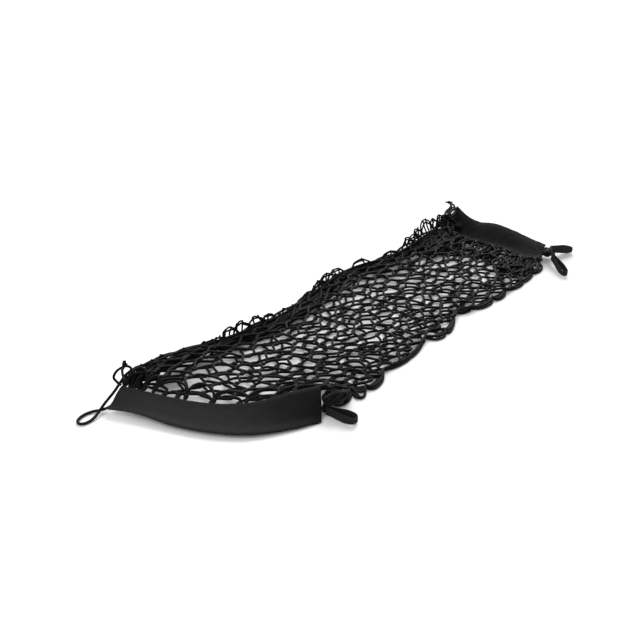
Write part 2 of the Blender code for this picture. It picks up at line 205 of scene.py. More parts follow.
# Crumpled mesh: strands that wander about a place, in shares of the net. Low and high
# are heights between the lower layer, 0, and the upper one, 1.
CrumpleRow = namedtuple("CrumpleRow", "along wide across deep reach lean low high count")
MOUTH_CRUMPLE = (
    CrumpleRow(0.52, 0.42, 0.930, 0.050, 0.09, 0.00, 0.50, 1.05, 110),
    CrumpleRow(0.37, 0.14, 0.900, 0.070, 0.09, 0.00, 0.30, 1.05, 50),
    CrumpleRow(0.09, 0.07, 0.930, 0.050, 0.09, 0.00, 0.40, 1.00, 34),
    CrumpleRow(0.925, 0.065, 0.84, 0.130, 0.08, 0.04, 0.10, 1.10, 80),
)
FLOOR_CRUMPLE = (
    CrumpleRow(0.945, 0.045, 0.50, 0.46, 0.06, 0.00, 0.00, 1.20, 90),
    CrumpleRow(0.66, 0.24, 0.50, 0.45, 0.06, 0.00, 0.00, 1.00, 28),
    CrumpleRow(0.94, 0.05, 0.09, 0.09, 0.05, 0.00, 0.00, 1.20, 46),
)
CRUMPLE_REACHES = (0.6, 1.2)  # of a row's reach
CRUMPLE_WANDER = 0.022  # of the width

# Tufts of crumpled mesh at the corners: a place, half sizes and a number of loops
TuftRow = namedtuple("TuftRow", "x y z wide deep tall count")
TUFTS = [TuftRow(*row) for row in (
    (-0.228, -0.119, 0.017, 0.017, 0.011, 0.012, 40),
    (-0.203, -0.125, 0.010, 0.012, 0.009, 0.007, 14),
    (0.412, 0.1060, 0.028, 0.018, 0.012, 0.008, 26),
    (0.418, 0.0850, 0.016, 0.016, 0.016, 0.006, 22),
    (0.428, -0.112, 0.012, 0.012, 0.010, 0.007, 14),
    (0.425, -0.104, 0.014, 0.009, 0.008, 0.006, 12),
    (0.415, -0.108, 0.0125, 0.010, 0.009, 0.006, 14),
    (-0.243, -0.122, 0.009, 0.007, 0.006, 0.006, 10),
    (-0.3900, 0.1075, 0.031, 0.013, 0.005, 0.007, 22),
)]
TUFT_STEPS = 12
TUFT_LENGTHS, TUFT_WIDTHS = (0.45, 0.75), (0.25, 0.5)  # of a loop, in half sizes
TUFT_SPREAD = 0.3

# Strands that run together from the mouth up to the far panel's raised corner
VEIL_SHARES = (0.915, 0.990)  # of the mouth
VEIL_STRANDS = 16
VEIL_SLACK = 0.0035
VEIL_TIE = 0.010

# The rim cord, from the knot at the far corner and back to it
CordPoint = namedtuple("CordPoint", "x y z")
NEAR_CORNER_CORD = [CordPoint(*row) for row in (
    (-0.3770, 0.1120, 0.0412),
    (-0.3900, 0.1130, 0.0380),
    (-0.4010, 0.1120, 0.0315),
    (-0.4110, 0.1120, 0.0235),
    (-0.4205, 0.1130, 0.0165),
    (-0.4300, 0.1125, 0.0115),
    (-0.4400, 0.1100, 0.0075),
    (-0.4510, 0.1065, 0.0040),
    (-0.4620, 0.1048, 0.0024),
    (-0.4715, 0.1062, 0.0024),
    (-0.4752, 0.1115, 0.0024),
    (-0.4725, 0.1178, 0.0024),
    (-0.4650, 0.1220, 0.0024),
    (-0.4545, 0.1228, 0.0024),
    (-0.4440, 0.1195, 0.0026),
    (-0.4350, 0.1125, 0.0036),
    (-0.4260, 0.1065, 0.0070),
    (-0.4165, 0.1060, 0.0118),
    (-0.4070, 0.1100, 0.0160),
    (-0.3950, 0.1160, 0.0185),
)]
FAR_CORNER_UPPER = (
    CordPoint(0.4420, 0.1170, 0.0440),
    CordPoint(0.4300, 0.1145, 0.0410),
    CordPoint(0.4175, 0.1145, 0.0365),
)
FAR_CORNER_LOWER = (
    CordPoint(0.4180, 0.1210, 0.0140),
    CordPoint(0.4330, 0.1180, 0.0235),
    CordPoint(0.4420, 0.1160, 0.0360),
)
FAR_KNOT_UPPER = CordPoint(0.4500, 0.1225, 0.0450)
FAR_KNOT_LOWER = CordPoint(0.4490, 0.1235, 0.0430)
MOUTH_CORD_ACROSS = 0.955
FLOOR_CORD_ACROSS = 1.055
CORD_SHARES = (0.065, 0.955)
CORD_STEPS = 40  # along each edge of the mouth
CORNER_STEPS = 34

# Loops of tape that stand on edge, and the gathered mesh that they hang from
LoopRow = namedtuple("LoopRow", "name root_x root_y root_z tip_x tip_y tip_z eye")
TAPE_LOOPS = (
    LoopRow("loop_near_right", -0.244, -0.1245, 0.0005, -0.236, -0.171, 0.0005, 0.012),
    LoopRow("loop_far_upper", 0.430, -0.1110, 0.0095, 0.475, -0.133, 0.0010, 0.009),
    LoopRow("loop_far_lower", 0.402, -0.1290, 0.0095, 0.367, -0.174, 0.0005, 0.009),
)
BundleRow = namedtuple("BundleRow", "name x y z turn length thick")
BUNDLES = (
    BundleRow("bundle_near_right", -0.2320, -0.1320, 0.0235, -12, 0.034, 0.018),
    BundleRow("bundle_far_right", 0.4110, -0.1175, 0.0185, 10, 0.026, 0.014),
)
BUNDLE_CORE = (0.15, 0.28, 0.33, 0.28, 0.15)  # radii, in shares of the thickness

# The tied ends of the mesh at both corners of the mouth
NEAR_KNOT = (-0.3835, 0.1230, 0.0465)
NEAR_KNOT_TAIL = ((0.0, 0.0, 0.0), (0.001, 0.0008, 0.0032), (0.002, 0.0015, 0.0058))
NEAR_KNOT_TAIL_RADII = [0.0022, 0.0024, 0.0026]
NEAR_KNOT_STRAND = 0.0038
NEAR_KNOT_ENDS = (
    ((-0.3835, 0.1225, 0.0455), (-0.3810, 0.1150, 0.0455), (-0.3825, 0.1062, 0.0430),
     (-0.3820, 0.1010, 0.0390)),
    ((-0.3845, 0.1225, 0.0450), (-0.3975, 0.1215, 0.0445), (-0.4070, 0.1180, 0.0400),
     (-0.4063, 0.1126, 0.0340), (-0.4040, 0.1070, 0.0300)),
    ((-0.3850, 0.1225, 0.0445), (-0.3940, 0.1150, 0.0450), (-0.4009, 0.1033, 0.0400),
     (-0.4010, 0.0995, 0.0365)),
)
FAR_KNOT = (0.4515, 0.1262, 0.0450)
FAR_KNOT_AXIS = (0.3, -0.2, 1.0)
FAR_KNOT_TAILS = (
    (-0.0040, 0.0080, 0.0008), (0.0030, -0.0030, 0.0006), (-0.0030, -0.0120, -0.0020),
)
FAR_KNOT_TAIL_RADII = [0.0018, 0.0019, 0.0018]
NEAR_KNOT_SIZE, FAR_KNOT_SIZE = 0.0062, 0.0078
KNOT_END_RADIUS = 0.0016

Lamp = namedtuple("Lamp", "name kind x y z power")
LAMPS = (
    Lamp("window_behind", "SUN", 0.9, 0.55, 0.70, 3.6),
    Lamp("softbox_front", "AREA", -1.0, 0.25, 0.7, 3.0),
)
SUN_ANGLE = 45  # degrees
SOFTBOX_SIZE = 0.5
FLOOR_COLOUR = (0.86, 0.86, 0.86, 1.0)

UP = Vector((0.0, 0.0, 1.0))


def stray(chance, reach, *height):
    """A random step of up to reach in each direction, or in plan alone with a given height."""
    return Vector([chance.uniform(-reach, reach) for _ in range(3 - len(height))] + [*height])


# ---------------------------------------------------------------- surfaces


def smooth(share):
    """From 0 to 1, level at both ends."""
    share = min(max(share, 0.0), 1.0)
    return share * share * (3.0 - 2.0 * share)


def mirrored(row, about):
    """The row that lies as far past another as this one lies before it."""
    return type(row)(*(2 * there - here for here, there in zip(row, about)))


def row_at(rows, share):
    """The row at this share of a table, on a smooth curve through all its rows."""
    place = share * (len(rows) - 1)
    index = min(max(int(place), 0), len(rows) - 2)
    start, end = rows[index], rows[index + 1]
    before = rows[index - 1] if index else mirrored(end, start)
    after = rows[index + 2] if index + 2 < len(rows) else mirrored(start, end)
    u = place - index
    return type(start)(*(
        b + 0.5 * u * (c - a + u * (2 * a - 5 * b + 4 * c - d + u * (3 * (b - c) + d - a)))
        for a, b, c, d in zip(before, start, end, after)
    ))


def panel_point(rows, along, across):
    """The underside of a panel, in the part's frame."""
    hem = NEAR_HEM_SHARE if rows is NEAR_PANEL else FAR_HEM_SHARE
    row = row_at(rows, along)
    rise = smooth((across - hem) / (1.0 - hem))
    return Vector((
        row.outer_x + (row.inner_x - row.outer_x) * across,
        row.outer_y + (row.inner_y - row.outer_y) * across,
        max(row.outer_z + (row.inner_z - row.outer_z) * rise, 0.0),
    )) - ORIGIN


def net_plan(along, across):
    """Where a layer's point lies in plan, in the tables' frame."""
    near, far = row_at(NEAR_PANEL, across), row_at(FAR_PANEL, across)
    edge = row_at(NET_EDGES, along)
    start, end = NET_EDGES[0], NET_EDGES[-1]
    point = Vector((near.inner_x, near.inner_y)) * (1 - along)
    point += Vector((far.inner_x, far.inner_y)) * along
    point += Vector((edge.front_x, edge.front_y)) * (1 - across)
    point += Vector((edge.back_x, edge.back_y)) * across
    point -= Vector((start.front_x, start.front_y)) * (1 - along) * (1 - across)
    point -= Vector((start.back_x, start.back_y)) * (1 - along) * across
    point -= Vector((end.front_x, end.front_y)) * along * (1 - across)
    point -= Vector((end.back_x, end.back_y)) * along * across
    lean = max(1.0 - along / SWEEP_SHARE, 0.0) ** 2 * along
    point.y += SWEEP * lean * sin(pi * min(max(across, 0.0), 1.0))
    return point


def end_eases(along, across):
    """How far the mesh is lifted by the near panel and by the far one, in shares."""
    reach = FRONT_LIFT_SHARE + (MOUTH_LIFT_SHARE - FRONT_LIFT_SHARE) * smooth(across)
    near = max(1.0 - along / reach, 0.0) ** 2
    far = max(1.0 - (1.0 - along) / reach, 0.0) ** 2
    return near, far


def lower_height(along, across):
    near_ease, far_ease = end_eases(along, across)
    near, far = row_at(NEAR_PANEL, across), row_at(FAR_PANEL, across)
    return near.inner_z * near_ease + far.inner_z * far_ease


def upper_height(along, across):
    parting = smooth((across - OPENS_FROM) / (1.0 - OPENS_FROM))
    open_by = row_at(NET_EDGES, along).mouth * parting
    held_apart = PANEL * sum(end_eases(along, across))
    puff = PUFF * sin(pi * min(max(across, 0.0), 0.5))
    gap = LAYER_GAP + open_by + held_apart + puff
    return lower_height(along, across) + STRAND_DEPTH + gap


def layer_point(level, along, across):
    """The middle of a strand: level is 0 on the lower layer and 1 on the upper one.

    The strands come down between the panels' plies at both ends.
    """
    plan = net_plan(along, across)
    low = lower_height(along, across)
    height = low + (upper_height(along, across) - low) * level + STRAND / 2
    for share, rows in ((along, NEAR_PANEL), (1.0 - along, FAR_PANEL)):
        inside = 1.0 - smooth(share / INSIDE_SHARE)
        if inside > 0.0:
            held = row_at(rows, across).inner_z + PANEL / 2 + 0.0010 * (level - 0.4)
            height += (held - height) * inside
    return Vector((plan.x, plan.y, height)) - ORIGIN


# ---------------------------------------------------------------- mesh making


class Shape:
    """The points, faces and UVs of one piece, gathered before its mesh is made.

    A UV is in metres: round or across a piece, and along it.
    """

    def __init__(self):
        self.points, self.faces, self.uvs = [], [], []

    def loft(self, rings, closed=False):
        """A skin over rings of points, each ring closed. The ends get caps."""
        first, count = len(self.points), len(rings[0])
        along = [0.0]
        for a, b in zip(rings, rings[1:] + rings[:1]):
            along.append(along[-1] + (b[0] - a[0]).length)
        ring = rings[len(rings) // 2]
        around = [0.0]
        for a, b in zip(ring, ring[1:] + ring[:1]):
            around.append(around[-1] + (b - a).length)
        for ring in rings:
            self.points.extend(ring)
        for i in range(len(rings) if closed else len(rings) - 1):
            here, there = first + i * count, first + (i + 1) % len(rings) * count
            for j in range(count):
                k = (j + 1) % count
                self.faces.append((here + j, here + k, there + k, there + j))
                self.uvs += [(around[j], along[i]), (around[j + 1], along[i]),
                             (around[j + 1], along[i + 1]), (around[j], along[i + 1])]
        if not closed:
            last = first + (len(rings) - 1) * count
            for face in (range(first + count - 1, first - 1, -1), range(last, last + count)):
                self.faces.append(tuple(face))
                self.uvs += [(0.0, 0.0)] * count

    def tube(self, path, radius, sides=8, closed=False):
        """A round skin along a path. Radius is a number or one for each point."""
        radii = [radius] * len(path) if isinstance(radius, float) else radius
        rings = []
        for spot, side, up, size in zip(path, *frames(path, closed), radii):
            rings.append([
                spot + side * (cos(a) * size) + up * (sin(a) * size)
                for a in (2 * pi * step / sides for step in range(sides))
            ])
        self.loft(rings, closed=closed)

    def strand(self, path, diameter=STRAND):
        """A mesh strand, kept on or above the floor."""
        for spot in path:
            spot.z = max(spot.z, diameter / 2)
        self.tube(path, diameter / 2, sides=7)

    def made(self, name, look, slot, replaced=None):
        """The piece itself, which stands for a node of the solids or adds to them."""
        data = bpy.data.meshes.new(name)
        data.from_pydata(self.points, [], self.faces)
        layer = data.uv_layers.new(name="UVMap")
        layer.data.foreach_set("uv", [value for uv in self.uvs for value in uv])
        data.shade_smooth()
        data.materials.append(look)
        piece = bpy.data.objects.new(name, data)
        bpy.context.scene.collection.objects.link(piece)
        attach(piece, "root")
        if replaced:
            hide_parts(replaced)
        return piece


def frames(path, closed=False):
    """Two directions across a path at each point, carried along it without a twist."""
    count = len(path)
    tangents = []
    for i in range(count):
        if closed:
            before, after = path[i - 1], path[(i + 1) % count]
        else:
            before, after = path[max(i - 1, 0)], path[min(i + 1, count - 1)]
        tangents.append((after - before).normalized())
    up = UP if abs(tangents[0].z) < 0.9 else Vector((1.0, 0.0, 0.0))
    sides, ups = [], []
    for tangent in tangents:
        side = tangent.cross(up).normalized()
        up = side.cross(tangent)
        sides.append(side)
        ups.append(up)
    return sides, ups


def bezier(a, b, c, d, steps):
    path = []
    for step in range(steps + 1):
        t = step / steps
        s = 1.0 - t
        path.append(a * s ** 3 + b * 3 * s * s * t + c * 3 * s * t * t + d * t ** 3)
    return path


def spline(spots, steps):
    """A smooth path through spots, with this many steps from each to the next."""
    rows = [CordPoint(*spot) for spot in spots]
    count = (len(rows) - 1) * steps
    return [Vector(row_at(rows, step / count)) for step in range(count + 1)]


def arc(start, crest, end, steps=8):
    """A path from start to end that turns back at its crest."""
    run = (end - start) * 0.28
    left = bezier(start, start + (crest - start - run) * 0.75, crest - run, crest, steps)
    right = bezier(crest, crest + run, end + (crest + run - end) * 0.75, end, steps)
    return left + right[1:]


# ---------------------------------------------------------------- materials


class Nodes:
    """A material's node tree, with short calls for the maths in it."""

    def __init__(self, name):
        self.material = bpy.data.materials.new(name)
        self.material.use_nodes = True
        self.tree = self.material.node_tree
        self.shader = self.tree.nodes["Principled BSDF"]
        parts = self.add("ShaderNodeSeparateXYZ")
        self.put(parts.inputs[0], self.add("ShaderNodeUVMap").outputs["UV"])
        self.around, self.along = parts.outputs["X"], parts.outputs["Y"]
        self.place = self.add("ShaderNodeNewGeometry").outputs["Position"]

    def add(self, kind, **settings):
        node = self.tree.nodes.new(kind)
        for name, value in settings.items():
            setattr(node, name, value)
        return node

    def put(self, socket, value):
        """A constant, or a link from another node's output."""
        if isinstance(value, bpy.types.NodeSocket):
            self.tree.links.new(value, socket)
        else:
            socket.default_value = value

    def maths(self, operation, *values):
        node = self.add("ShaderNodeMath", operation=operation)
        for socket, value in zip(node.inputs, values):
            self.put(socket, value)
        return node.outputs[0]

    def wave(self, value, length):
        """A sine of a distance, from -1 to 1."""
        return self.maths("SINE", self.maths("MULTIPLY", value, 2 * pi / length))

    def noise(self, scale, detail=3.0):
        node = self.add("ShaderNodeTexNoise")
        for name, value in (("Vector", self.place), ("Scale", scale), ("Detail", detail)):
            self.put(node.inputs[name], value)
        return node.outputs["Fac"]

    def colours(self, share, dark, light):
        node = self.add("ShaderNodeMix", data_type="RGBA")
        for name, value in (("Factor", share), ("A", (*dark, 1.0)), ("B", (*light, 1.0))):
            self.put(node.inputs[name], value)
        self.put(self.shader.inputs["Base Color"], node.outputs["Result"])

    def roughness(self, share, low, high):
        value = self.maths("MULTIPLY_ADD", share, high - low, low)
        self.put(self.shader.inputs["Roughness"], value)

    def bump(self, height, distance, strength=1.0):
        node = self.add("ShaderNodeBump")
        for name, value in (("Distance", distance), ("Strength", strength), ("Height", height)):
            self.put(node.inputs[name], value)
        self.put(self.shader.inputs["Normal"], node.outputs["Normal"])

    def finish(self, sheen, specular):
        self.shader.inputs["Sheen Weight"].default_value = sheen
        self.shader.inputs["Sheen Roughness"].default_value = 0.5
        self.shader.inputs["Specular IOR Level"].default_value = specular
        return self.material


def braid(name, diameter, plaits, dark, light, roughness):
    """Braided or knitted cord: two families of slanting plaits that cross."""
    look = Nodes(name)
    girth = pi * diameter
    turn = look.maths("MULTIPLY", look.around, 2 * pi * plaits / girth)
    pitch = girth / plaits * 1.7
    run = look.maths("MULTIPLY", look.along, 2 * pi / pitch)
    left = look.maths("SINE", look.maths("ADD", turn, run))
    right = look.maths("SINE", look.maths("SUBTRACT", turn, run))
    height = look.maths("MAXIMUM", left, right)
    fuzz = look.noise(1800.0, 4.0)
    height = look.maths("MULTIPLY_ADD", fuzz, 0.6, height)
    patches = look.noise(45.0)
    # Painted shade: the hollows between the plaits are coloured darker, mixed with random patches
    # of tone.
    painted_shade_and_patches = look.maths("MULTIPLY_ADD", height, 0.3, patches)
    look.colours(look.maths("MULTIPLY", painted_shade_and_patches, 0.7), dark, light)
    look.roughness(fuzz, *roughness)
    look.bump(height, diameter * 0.05, 0.8)
    return look.finish(0.01, 0.08)


def woven(name, pitch, dark, light, roughness, rib=None, painted_light_span=None):
    """Plain weave, or a tape with ribs along it, its hollows painted darker as shade. A given
    span ramps it lighter as painted light.
    """
    look = Nodes(name)
    height = look.maths("MULTIPLY", look.wave(look.around, pitch), look.wave(look.along, pitch))
    if rib:
        height = look.maths("MULTIPLY_ADD", height, 0.5, look.wave(look.around, rib))
    slubs = look.noise(700.0, 2.0)
    height = look.maths("MULTIPLY_ADD", slubs, 0.8, height)
    patches = look.noise(18.0, 4.0)
    # Painted light: the colour is ramped lighter from the span's start to its end, for how light
    # falls along the panel.
    if painted_light_span:
        start, end = painted_light_span
        painted_light_ramp = look.maths("DIVIDE", look.maths("SUBTRACT", look.along, start), end - start)
        patches = look.maths("MULTIPLY_ADD", patches, 0.3, look.maths("MAXIMUM", painted_light_ramp, 0.0))
    # Painted shade: the weave's hollows are coloured darker, on top of random slubs and patches.
    look.colours(look.maths("MULTIPLY_ADD", height, 0.12, patches), dark, light)
    look.roughness(patches, *roughness)
    look.bump(height, pitch * 0.12, 0.7)
    return look.finish(0.01, 0.09)


STRAND_LOOK = braid("strand_knit", STRAND, 5, (0.0019, 0.0019, 0.0021),
                    (0.0066, 0.0066, 0.0070), (0.55, 0.75))
CORD_LOOK = braid("cord_braid", CORD, 8, (0.0035, 0.0035, 0.0038),
                  (0.0095, 0.0095, 0.0100), (0.50, 0.70))
# Painted light and shade: both panels are the same fabric; the far one is coloured darker as
# painted shade, the near one lighter towards its mouth end as painted light.
NEAR_FABRIC_PAINTED_LIGHT_LOOK = woven("panel_weave_near_painted_light", 0.0007, (0.0014, 0.0014, 0.0016),
                         (0.0225, 0.0225, 0.0232), (0.72, 0.90), painted_light_span=(0.07, 0.34))
FAR_FABRIC_PAINTED_SHADE_LOOK = woven("panel_weave_far_painted_shade", 0.0007, (0.0008, 0.0008, 0.0010),
                        (0.0042, 0.0042, 0.0046), (0.72, 0.90))
TAPE_LOOK = woven("tape_weave", 0.0009, (0.0080, 0.0080, 0.0085),
                  (0.0190, 0.0190, 0.0200), (0.60, 0.80), rib=0.0022)
THREAD_LOOK = woven("thread", 0.0004, (0.0060, 0.0060, 0.0060),
                    (0.0160, 0.0160, 0.0160), (0.45, 0.60))


# ---------------------------------------------------------------- mesh layers

Knot = namedtuple("Knot", "spot way along across")


def gather(share):
    """Rows lie closer together towards the mouth."""
    return share * (1.18 - 0.18 * share)


def slacken(share):
    """Columns lie closer together towards the near panel."""
    return share * (0.88 + 0.12 * share)


class Layer:
    """One layer of the mesh: its knots, in half rows from the front, and its strands."""

    def __init__(self, level, seed):
        self.level = level
        self.chance = random.Random(seed)
        self.edge_chance = random.Random(seed + EDGE_SEED)
        self.shape = Shape()
        self.knots = {}
        for row in range(HALF_ROWS + 1):
            for half in range(row % 2, 2 * COLUMNS + 1, 2):
                self.knots[row, half] = self.knot(row, half)

    def knot(self, row, half):
        chance = self.chance
        along, across = slacken(half / 2 / COLUMNS), gather(row / HALF_ROWS)
        if 0 < half < 2 * COLUMNS:
            along += SHEAR * (across - 0.5) * sin(pi * along) * (1.0 - along)
            along += self.level * LAYERS_DRIFT[0] / COLUMNS
            across = max(across + self.level * LAYERS_DRIFT[1] / HALF_ROWS, -0.01)
            along += chance.uniform(-UNEVENNESS, UNEVENNESS) / COLUMNS
            across += chance.uniform(-UNEVENNESS, UNEVENNESS) * ROW_UNEVENNESS / HALF_ROWS
        else:
            across += self.edge_chance.uniform(-EDGE_UNEVENNESS, EDGE_UNEVENNESS) / HALF_ROWS
            across = min(max(across, 0.0), 1.0)
        along = min(max(along, EDGE_KNOTS), 1.0 - EDGE_KNOTS)
        lift = chance.uniform(0.0, KNOT_LIFT_ABOVE if self.level else KNOT_LIFT)
        lift *= smooth(min(along, 1.0 - along) / 0.05)
        spot = layer_point(self.level, along, across) + UP * lift
        spot.z = max(spot.z, KNOT_HEIGHT / 2)
        step = 0.01
        way = layer_point(self.level, along + step, across)
        way -= layer_point(self.level, along - step, across)
        turn = radians(chance.uniform(-KNOT_TURN, KNOT_TURN))
        way = Vector((way.x * cos(turn) - way.y * sin(turn),
                      way.x * sin(turn) + way.y * cos(turn), way.z))
        return Knot(spot, way.normalized(), along, across)

    def strand(self, start, end):
        """A strand from one knot's right end to another's left end."""
        chance = self.chance
        a = start.spot + start.way * (KNOT_LENGTH * KNOT_GRIP)
        d = end.spot - end.way * (KNOT_LENGTH * KNOT_GRIP)
        reach = (d - a).length
        b = a + start.way * (reach * chance.uniform(*STRAND_PULLS))
        c = d - end.way * (reach * chance.uniform(*STRAND_PULLS))
        bow = Vector((chance.uniform(-1, 1), chance.uniform(-1, 1), chance.uniform(0, 1.2)))
        bow *= STRAND_BOW
        self.shape.strand(bezier(a, b + bow, c + bow, d, 7))

    def into_panel(self, knot):
        """A short strand that runs from a knot into the panel beside it."""
        inside = -EDGE_BITE if knot.along < 0.5 else 1.0 + EDGE_BITE
        far = layer_point(self.level, inside, knot.across)
        self.shape.strand(bezier(knot.spot, knot.spot.lerp(far, 0.3), knot.spot.lerp(far, 0.7),
                                 far, 6))

    def edge_bow(self, start, end):
        """A slack strand between two neighbouring knots at the near panel."""
        chance = self.edge_chance
        near, far = (chance.uniform(*EDGE_BOWS) for _ in range(2))
        self.shape.strand(bezier(start.spot, start.spot + start.way * near,
                                 end.spot + end.way * far, end.spot, 8))

    def blob(self, knot, steps=9, sides=7):
        """A knot: two strands bound side by side, with the turns that bind them."""
        side = knot.way.cross(UP).normalized()
        up = side.cross(knot.way)
        rings = []
        for step in range(steps + 1):
            share = step / steps
            bulge = sin(pi * (0.06 + 0.88 * share)) ** 0.55
            bulge *= 1.0 + 0.07 * cos(2 * pi * 3 * (share - 0.5))
            spot = knot.spot + knot.way * (KNOT_LENGTH * (share - 0.5))
            rings.append([
                spot + side * (cos(a) * bulge * KNOT_WIDTH / 2)
                + up * (sin(a) * bulge * KNOT_HEIGHT / 2)
                for a in (2 * pi * k / sides for k in range(sides))
            ])
        self.shape.loft(rings)

    def mouth_edge(self, start, end):
        """A free strand between two knots of the outermost row at the mouth."""
        chance = self.chance
        middle = (start.spot + end.spot) / 2
        out = (end.spot - start.spot).cross(UP).normalized() * -chance.uniform(*MOUTH_BOWS)
        crest = middle + out + UP * chance.uniform(-0.001, 0.002)
        self.shape.strand(arc(start.spot, crest, end.spot, 6))

    def build(self):
        knots, last = self.knots, 2 * COLUMNS
        for (row, half), knot in sorted(knots.items()):
            self.blob(knot)
            if half in (0, last):
                self.into_panel(knot)
            if half == 0 and (row + 2, 0) in knots:
                self.edge_bow(knot, knots[row + 2, 0])
            for other_row in (row - 1, row + 1):
                if (other_row, half + 1) in knots:
                    self.strand(knot, knots[other_row, half + 1])
            if row == HALF_ROWS and half + 2 <= last:
                self.mouth_edge(knot, knots[row, half + 2])

    def crumple(self, rows):
        """Strands of gathered mesh that wander about each row's place."""
        chance = self.chance
        for row in rows:
            for _ in range(row.count):
                along = row.along + chance.uniform(-row.wide, row.wide)
                across = row.across + chance.uniform(-row.deep, row.deep)
                level = chance.uniform(row.low, row.high)
                reach = row.reach * chance.uniform(*CRUMPLE_REACHES)
                wander = [chance.uniform(-CRUMPLE_WANDER, CRUMPLE_WANDER) for _ in range(4)]
                self.shape.strand(spline([
                    layer_point(level, min(max(along + reach * share, 0.004), 0.996),
                                min(across + row.lean * share + aside, 1.0))
                    for share, aside in zip((-0.5, -0.17, 0.17, 0.5), wander)
                ], 4))

    def tufts(self):
        """Small closed loops of strand, at random inside each row's ellipsoid."""
        chance = self.chance
        for row in TUFTS:
            centre = Vector((row.x, row.y, row.z)) - ORIGIN
            size = Vector((row.wide, row.deep, row.tall))
            for _ in range(row.count):
                middle, first, second = (stray(chance, 1) for _ in range(3))
                first.normalize()
                second = (second - first * second.dot(first)).normalized()
                long, short = chance.uniform(*TUFT_LENGTHS), chance.uniform(*TUFT_WIDTHS)
                path = []
                for step in range(TUFT_STEPS):
                    turn = 2 * pi * step / TUFT_STEPS
                    spot = middle * TUFT_SPREAD + first * (long * cos(turn))
                    spot += second * (short * sin(turn))
                    path.append(centre + spot * size)
                    path[-1].z = max(path[-1].z, STANDING_STRAND / 2)
                self.shape.tube(path, STANDING_STRAND / 2, sides=6, closed=True)

    def corner_veil(self):
        """Strands that run together from the mouth to the far panel's raised corner."""
        chance = self.chance
        start, end = VEIL_SHARES
        for number in range(VEIL_STRANDS):
            share = number / (VEIL_STRANDS - 1)
            along = start + (end - start) * share
            foot = rim_point(along) + UP * 0.002
            head = panel_point(FAR_PANEL, 1.0 - 0.10 * share, 0.12 + 0.55 * share)
            head += Vector((0.0, 0.0040, PANEL)) * (1.0 - share)
            spots = [foot]
            for step in (0.33, 0.66):
                spots.append(foot.lerp(head, step) + stray(chance, VEIL_SLACK))
            self.shape.strand(spline((*spots, head), 4), STANDING_STRAND)
            across = (foot + head) / 2
            other = across + stray(chance, VEIL_TIE)
            bow = (across + other) / 2 + UP * 0.003
            self.shape.strand(spline((across, bow, other), 4), STANDING_STRAND)

    def standing_loops(self):
        """Loops of slack mesh that stand up from the cord, each of two strands."""
        chance = self.chance
        for loop in MOUTH_LOOPS:
            drifts = (0.0, chance.uniform(-INNER_LOOP_DRIFT, INNER_LOOP_DRIFT))
            for scale, drift in zip((1.0, INNER_LOOP), drifts):
                spots = []
                for share in LOOP_STEPS:
                    along = loop.start + (loop.end - loop.start) * share
                    rise = loop.rise * scale * sin(pi * share) ** LOOP_ARCH
                    tilt = (LOOP_LEAN + Vector((drift, 0.0, 0.0))) * rise
                    kink = self.edge_chance.uniform(-LOOP_KINK, LOOP_KINK)
                    tilt += Vector((kink, 0.0, abs(kink) * -0.5)) * sin(pi * share)
                    spots.append(rim_point(along) + tilt - UP * 0.001)
                self.shape.strand(spline(spots, 4), STANDING_STRAND)
            for rib in range(loop.ribs):
                share = (rib + 1 + chance.uniform(-0.2, 0.2)) / (loop.ribs + 1)
                along = loop.start + (loop.end - loop.start) * share
                rise = loop.rise * sin(pi * share) ** LOOP_ARCH
                foot = rim_point(along + chance.uniform(-RIB_SLANT, RIB_SLANT)) - UP * 0.003
                head = rim_point(along) + LOOP_LEAN * rise
                middle = (foot + head) / 2 + Vector((chance.uniform(-0.002, 0.002), 0.001, 0.0))
                self.shape.strand(spline((foot, middle, head), 4), STANDING_STRAND)

    def scallops(self):
        """The slack strands along the front edge, tied back to the nearest knots."""
        chance = self.chance
        row = [self.knots[key] for key in sorted(self.knots) if key[0] == 0]
        for scallop in FRONT_SCALLOPS:
            start, crest, end = (
                Vector((x, y + inset, height)) - ORIGIN for x, y, inset, height in (
                    (scallop.start_x, scallop.start_y, SCALLOP_INSET, SCALLOP_HEIGHT),
                    (scallop.crest_x, scallop.crest_y, CREST_INSET, CREST_HEIGHT),
                    (scallop.end_x, scallop.end_y, SCALLOP_INSET, SCALLOP_HEIGHT),
                )
            )
            inner = (start + end) / 2
            if self.level:
                drift = (end - start) * chance.uniform(-0.2, 0.2)
                lowered = inner + (crest - inner) * chance.uniform(0.55, 0.8) + drift
                self.shape.strand(arc(start + UP * 0.003, lowered + UP * 0.002, end + UP * 0.003))
                continue
            self.shape.strand(arc(start, crest, end))
            lowered = inner + (crest - inner) * chance.uniform(0.25, 0.5)
            self.shape.strand(arc(start, lowered + UP * 0.001, end))
            for spot in (start, crest, end):
                knot = min(row, key=lambda other: (other.spot - spot).length)
                bow = stray(chance, SCALLOP_TIE_BOW, 0.001)
                self.shape.strand(bezier(knot.spot, knot.spot + bow, spot + bow, spot, 6))


def rim_point(along):
    """A point on the rim cord's course along the upper layer, in the part's frame."""
    return Vector(on_upper(along)) - ORIGIN


def mesh_layer(name, node, level, seed, crumples):
    layer = Layer(level, seed)
    layer.build()
    layer.crumple(crumples)
    layer.scallops()
    if level:
        layer.standing_loops()
        layer.tufts()
        layer.corner_veil()
    piece = layer.shape.made(name, STRAND_LOOK, "mesh", node)
    return piece


# ---------------------------------------------------------------- panels


